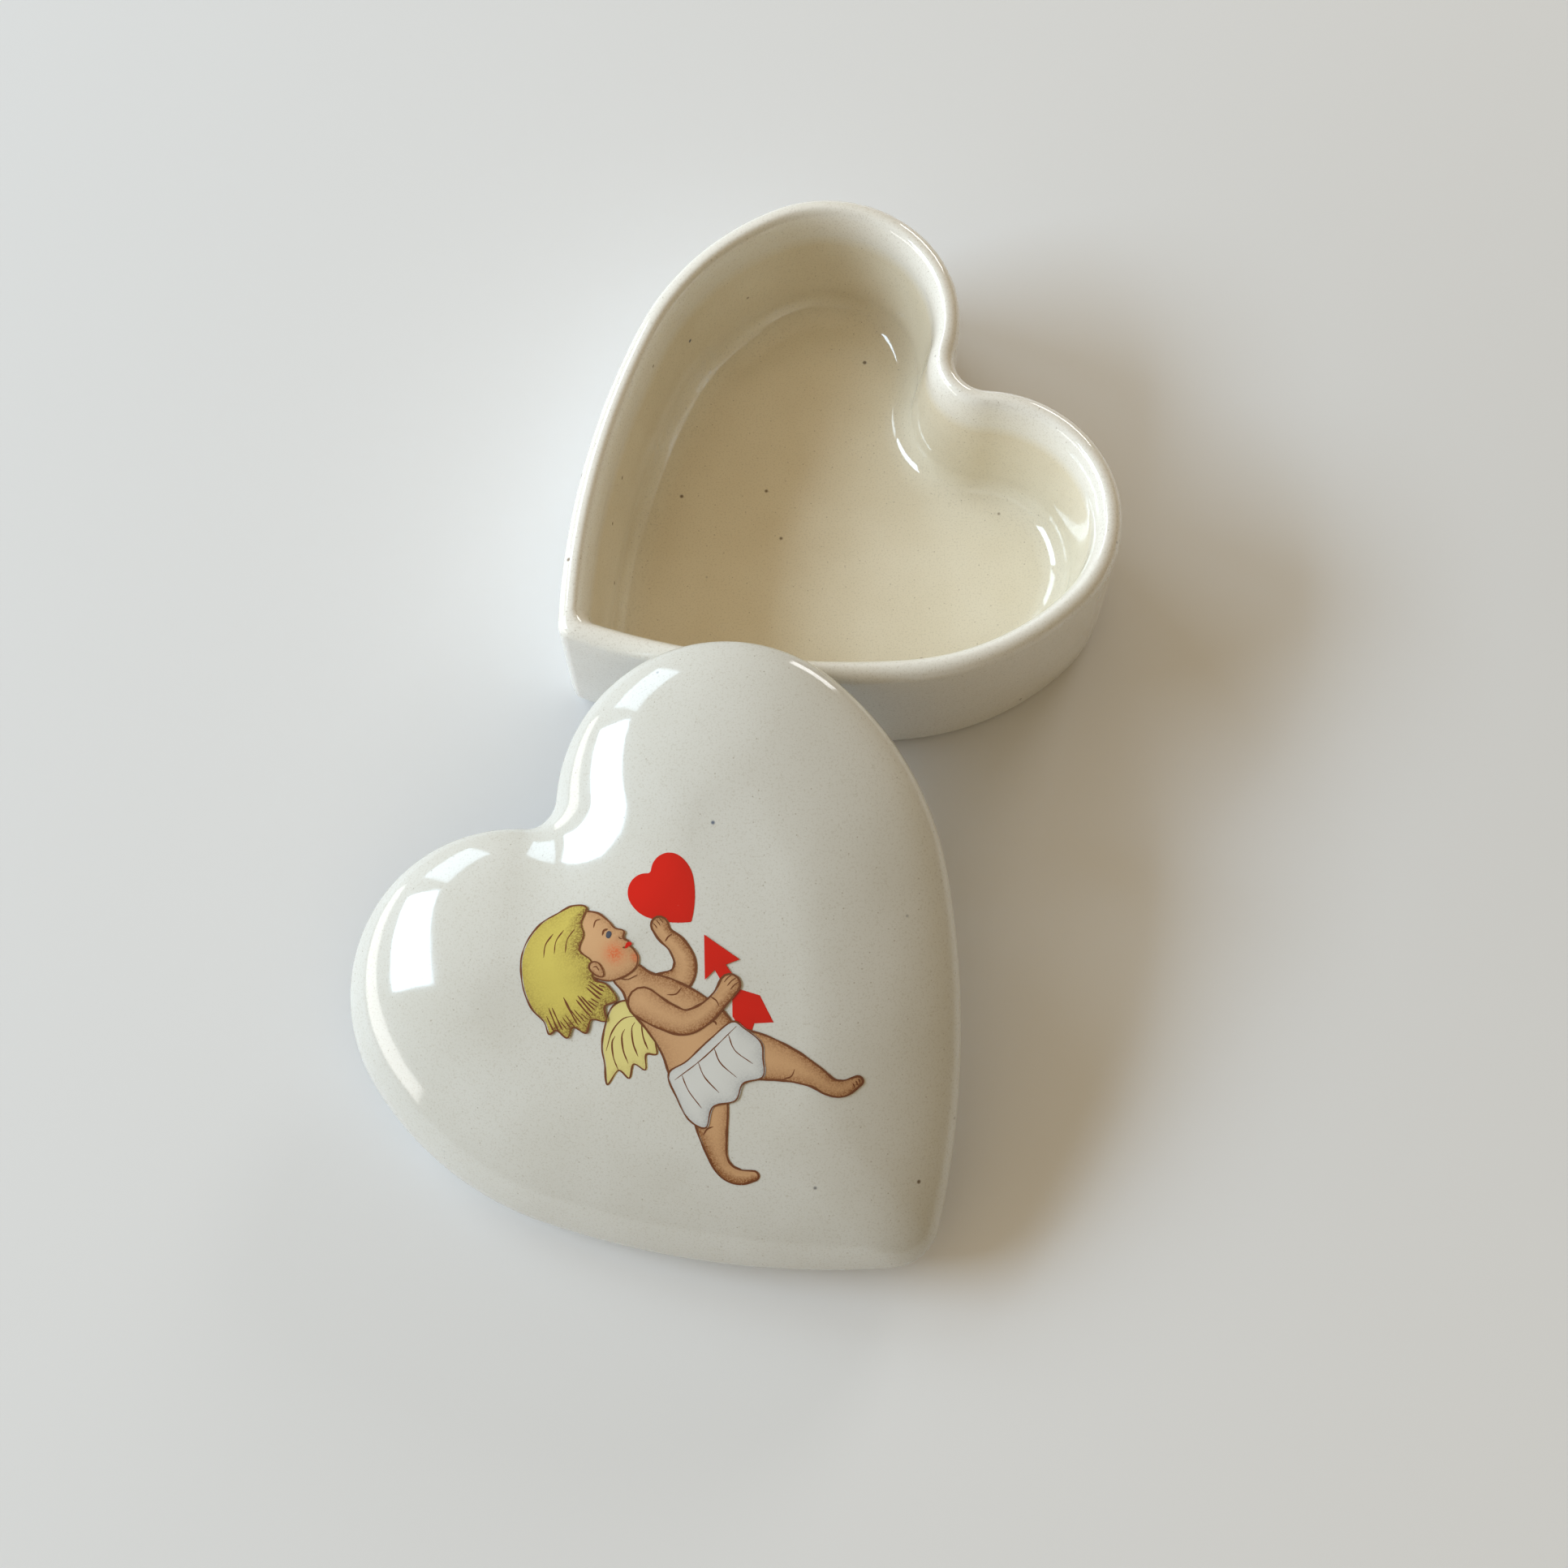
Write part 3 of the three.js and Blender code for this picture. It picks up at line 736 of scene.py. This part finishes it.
def draw_head():
    face = spline([(-3.6, 1.7), (-1.9, 1.6), (-0.8, 0.6), (-0.45, -0.7), (-0.4, -1.5), (0.1, -2.3),
                   (-0.35, -2.75), (-0.2, -3.3), (-0.35, -3.75), (-0.3, -4.2), (-0.5, -5.0),
                   (-1.3, -5.6), (-2.7, -5.5), (-4.2, -4.7), (-5.2, -3.0), (-5.6, -0.6), (-5.0, 0.9)], True)
    lines = part("face_ink", face, 5, SKIN_INK, "ink_skin", "print_skin", 0.16, soft=0.6, depth=0.6,
                 glow=[(-1.9, -3.3, 0.9), (-0.6, -4.9, 0.4)])
    lines.curve([(-1.75, -1.3), (-1.35, -1.05), (-0.95, -1.2)], 0.22)
    lines.curve([(-1.95, -0.2), (-1.4, 0.15), (-0.9, -0.05)], 0.14)
    lines.curve([(-0.45, -2.75), (-0.62, -2.6), (-0.62, -2.4)], 0.1)
    lines.curve([(-0.4, -3.5), (-0.75, -3.55), (-1.0, -3.4)], 0.15)
    lines.curve([(-3.2, -5.2), (-2.6, -5.9), (-1.6, -6.2)], 0.12)
    lines.finish("face_lines", "print_skin")
    eye = limb([(-1.42, -1.6, 0.24), (-1.25, -1.5, 0.26)])
    patch("eye_ink", eye, 6, EYE_INK, "ink_skin", "print_skin", depth=0.3)
    lips = limb([(-0.85, -3.5, 0.09), (-0.52, -3.42, 0.2), (-0.3, -3.5, 0.16)])
    patch("lips_ink", lips, 6, RED_INK, "ink_skin", "print_skin", depth=0.3)


def draw_hair():
    outline = spline([(-1.3, 1.7), (-2.3, 2.7), (-3.9, 3.1), (-5.6, 3.4), (-7.4, 3.1), (-8.9, 2.3),
                      (-10.0, 1.1), (-10.9, -0.4), (-11.4, -2.1), (-11.3, -3.7), (-11.7, -4.9),
                      (-10.9, -5.1), (-10.6, -6.3), (-9.5, -5.9), (-8.9, -7.1), (-7.7, -6.5),
                      (-6.7, -7.5), (-5.9, -6.4), (-4.6, -6.7), (-4.4, -5.0), (-5.0, -3.8),
                      (-4.1, -2.4), (-4.3, -0.9), (-3.1, -0.1), (-2.6, 0.9)], True)
    lines = part("hair_ink", outline, 6, HAIR_INK, "ink_hair", "print_hair", 0.15,
                 soft=1.1, depth=0.85, lit=(-0.4, 1.0))
    for share in np.linspace(0, 1, 19):
        wave = math.sin(23 * share) + 0.5 * math.sin(61 * share)
        end = np.array([-11.2 + 6.6 * share, -5.2 - 1.2 * math.sin(math.pi * share)])
        root = np.array([-8.4 + 3.2 * share + 0.5 * wave, 0.6 - 1.6 * share])
        path = [end + (root - end) * t + np.array([-0.5 * math.sin(math.pi * t), 0.0])
                for t in (0.02, 0.14, 0.30 + 0.12 * wave)]
        lines.curve(path, 0.13 + 0.03 * wave)
    for x, y in ((-3.4, 0.9), (-4.3, 1.5), (-5.3, 1.9)):
        lines.curve([(x, y), (x - 1.2, y - 0.3), (x - 2.1, y - 1.1)], 0.11)
    lines.finish("hair_lines", "print_hair")
    ear = spline([(-4.7, -2.8), (-4.2, -2.5), (-3.7, -2.9), (-3.8, -3.8), (-4.2, -4.2), (-4.6, -3.7)], True)
    lines = part("ear_ink", ear, 7, SKIN_INK, "ink_skin", "print_skin", 0.13, soft=0.3)
    lines.curve([(-4.35, -2.95), (-4.05, -3.1), (-4.1, -3.6)], 0.09)
    lines.finish("ear_lines", "print_skin")


def draw_reds():
    small_heart = HEART_SIZE * heart(0, 2.0, LID_NOTCH)[::3] + HEART_PLACE
    patch("heart_ink", small_heart, 0, RED_INK, "ink_red", "print_heart", depth=0.3)
    head = np.array([(5.5, -7.4), (2.8, -10.6), (4.1, -10.5), (3.9, -11.6), (5.1, -11.8),
                     (5.2, -10.8), (6.5, -11.3)])
    patch("arrow_head_ink", head, 4, RED_INK, "ink_red", "print_arrow_head", depth=0.3)
    tail = np.array([(3.7, -13.4), (2.5, -14.8), (2.1, -17.5), (3.6, -16.6), (5.0, -17.7),
                     (5.7, -15.0), (4.7, -13.4)])
    patch("arrow_tail_ink", tail, 0, RED_INK, "ink_red", "print_arrow_tail", depth=0.3)


draw_wing()
draw_legs()
draw_body()
draw_cloth()
draw_head()
draw_hair()
draw_reds()


# ------------------------------------------------------------------ floor, light and camera
def add_floor():
    mesh = bpy.data.meshes.new("floor")
    reach = 4.0
    corners = [(-reach, -reach, 0), (reach, -reach, 0), (reach, reach, 0), (-reach, reach, 0)]
    mesh.from_pydata(corners, [], [(0, 1, 2, 3)])
    n = Nodes("floor")
    n.shader.inputs["Base Color"].default_value = rgb(0.785, 0.79, 0.80)
    n.shader.inputs["Roughness"].default_value = 0.9
    mesh.materials.append(n.material)
    floor = bpy.data.objects.new("floor", mesh)
    bpy.context.scene.collection.objects.link(floor)


def add_panel(name, bearing, elevation, distance, width, height, power, colour=(1, 1, 1)):
    """A soft light panel that faces the origin. Bearing is clockwise from +Y, in degrees."""
    light = bpy.data.lights.new(name, "AREA")
    light.shape = "RECTANGLE"
    light.size = width
    light.size_y = height
    light.energy = power
    light.color = colour
    panel = bpy.data.objects.new(name, light)
    b, e = math.radians(bearing), math.radians(elevation)
    away = Vector((math.sin(b) * math.cos(e), math.cos(b) * math.cos(e), math.sin(e)))
    panel.location = away * distance
    panel.rotation_mode = "QUATERNION"
    panel.rotation_quaternion = away.to_track_quat("Z", "Y")
    bpy.context.scene.collection.objects.link(panel)


def add_room(low, high):
    """Warm light from all round, brightest from above and a little behind, on the windows' side."""
    world = bpy.data.worlds.new("room")
    bpy.context.scene.world = world
    bpy.context.scene.view_settings.view_transform = "Standard"
    world.use_nodes = True
    tree = world.node_tree
    background = tree.nodes["Background"]
    background.inputs["Color"].default_value = rgb(1.0, 0.79, 0.49)
    way = tree.nodes.new("ShaderNodeTexCoord")
    facing = tree.nodes.new("ShaderNodeVectorMath")
    facing.operation = "DOT_PRODUCT"
    facing.inputs[1].default_value = Vector((-0.3, 0.3, 0.9)).normalized()
    ramp = tree.nodes.new("ShaderNodeMapRange")
    ramp.inputs["From Min"].default_value = -0.2
    ramp.inputs["From Max"].default_value = 0.9
    ramp.inputs["To Min"].default_value = low
    ramp.inputs["To Max"].default_value = high
    tree.links.new(way.outputs["Generated"], facing.inputs[0])
    tree.links.new(facing.outputs["Value"], ramp.inputs["Value"])
    tree.links.new(ramp.outputs["Result"], background.inputs["Strength"])


def add_camera():
    """Looks steeply down from the lid's side, with a slight roll."""
    target = Vector((4.0, -4.2, 0.0)) * MM
    elevation = math.radians(72.2)
    roll = math.radians(-2.4)
    distance = 220.3 * MM
    back = Vector((0, -math.cos(elevation), math.sin(elevation)))
    right = Vector((1, 0, 0))
    up = back.cross(right)
    x = right * math.cos(roll) + up * math.sin(roll)
    y = up * math.cos(roll) - right * math.sin(roll)
    camera = bpy.data.objects.new("camera", bpy.data.cameras.new("camera"))
    camera.data.sensor_width = 36
    camera.data.lens = 48.45
    camera.data.clip_start = 0.01
    place = Matrix((x, y, back)).transposed().to_4x4()
    place.translation = target + back * distance
    camera.matrix_world = place
    bpy.context.scene.collection.objects.link(camera)
    bpy.context.scene.camera = camera


add_floor()
add_panel("window", -84, 32.5, 1.2, 0.72, 0.36, 10.9, (0.645, 0.82, 1.0))
add_panel("second_window", -45, 32.5, 1.2, 0.45, 0.36, 3.0, (0.68, 0.85, 1.0))
add_panel("low_window", -92, 9, 6.0, 8.0, 1.1, 110, (1.0, 0.98, 0.94))
add_panel("side_window", 31, 19, 1.4, 0.45, 0.28, 3.0)
add_room(0.14, 0.51)
add_camera()

bpy.context.view_layer.update()
